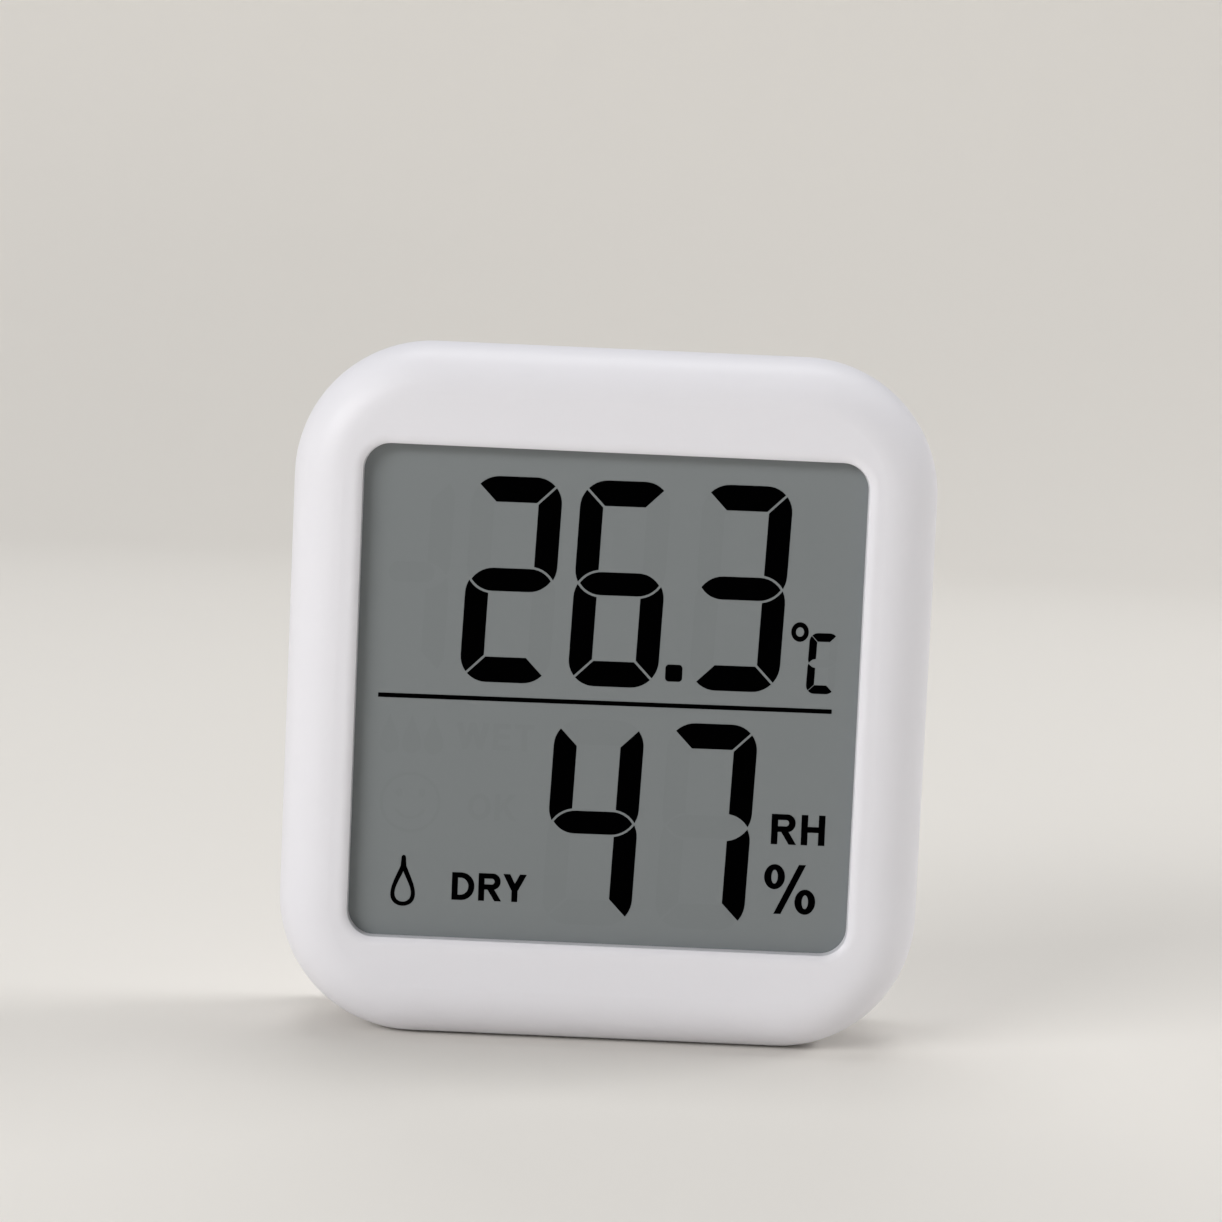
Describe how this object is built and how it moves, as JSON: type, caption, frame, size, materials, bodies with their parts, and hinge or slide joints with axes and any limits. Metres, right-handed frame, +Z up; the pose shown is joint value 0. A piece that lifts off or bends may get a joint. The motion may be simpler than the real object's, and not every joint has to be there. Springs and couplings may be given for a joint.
{
  "type": "temperature humidity sensor",
  "caption": "Upright white desktop thermo-hygrometer: soft-edged case, recessed segment display, fold-out stand, keyhole, battery door and unit button.",
  "frame": {"origin": "middle of the bounding box at the flat base", "axes": "+X to the right seen from the front, +Y from the display to the back, +Z up"},
  "size_m": [0.06, 0.0186, 0.065],
  "materials": {
    "case_white": "satin moulded",
    "film_grey": "matt film",
    "glass_pane": "clear",
    "reflector_foil": "frosted",
    "zebra_rubber": "soft",
    "foam_black": "open foam",
    "board_green": "solder resist",
    "resin_black": "cast resin",
    "can_steel": "drawn",
    "sleeve_dark": "shrink sleeve",
    "chip_dark": "fired",
    "sensor_white": "moulded",
    "bead_black": "dipped",
    "switch_black": "moulded",
    "stem_black": "moulded",
    "button_grey": "satin moulded",
    "cell_sleeve": "printed sleeve",
    "contact_nickel": "plated",
    "spring_steel": "plated wire",
    "lead_red": "insulation",
    "lead_black": "insulation",
    "screw_steel": "plated"
  },
  "bodies": {
    "case": {"front_shell": "case_white", "rear_shell": "case_white", "lcd_front_film": "film_grey", "lcd_front_glass": "glass_pane", "lcd_rear_glass": "glass_pane", "lcd_reflector": "reflector_foil", "zebra_strip": "zebra_rubber", "foam_pads": "foam_black", "main_board": "board_green", "chip_blob": "resin_black", "crystal": "can_steel", "capacitor": "sleeve_dark", "smd_parts": "chip_dark", "humidity_sensor": "sensor_white", "thermistor": "bead_black", "unit_switch": "switch_black", "battery": "cell_sleeve", "positive_contact": "contact_nickel", "negative_contact": "contact_nickel", "battery_spring": "spring_steel", "positive_lead": "lead_red", "negative_lead": "lead_black", "case_screws": "screw_steel", "board_screws": "screw_steel"},
    "door": {"battery_door": "case_white"},
    "stand_leg": {"stand": "case_white"},
    "button": {"unit_button": "button_grey", "switch_stem": "stem_black"}
  },
  "joints": [
    {"name": "stand_hinge", "type": "hinge", "parent": "case", "child": "stand_leg", "pos_m": [0, 0.00775, 0.03285], "axis": [1, 0, 0], "range_deg": [0, 40]},
    {"name": "door_hinge", "type": "hinge", "parent": "case", "child": "door", "pos_m": [0, 0.00915, 0.03637], "axis": [-1, 0, 0], "range_deg": [0, 75]},
    {"name": "button_press", "type": "slide", "parent": "case", "child": "button", "axis": [0, -1, 0], "range_m": [0, 0.0005], "stiffness_N_per_m": 600}
  ]
}
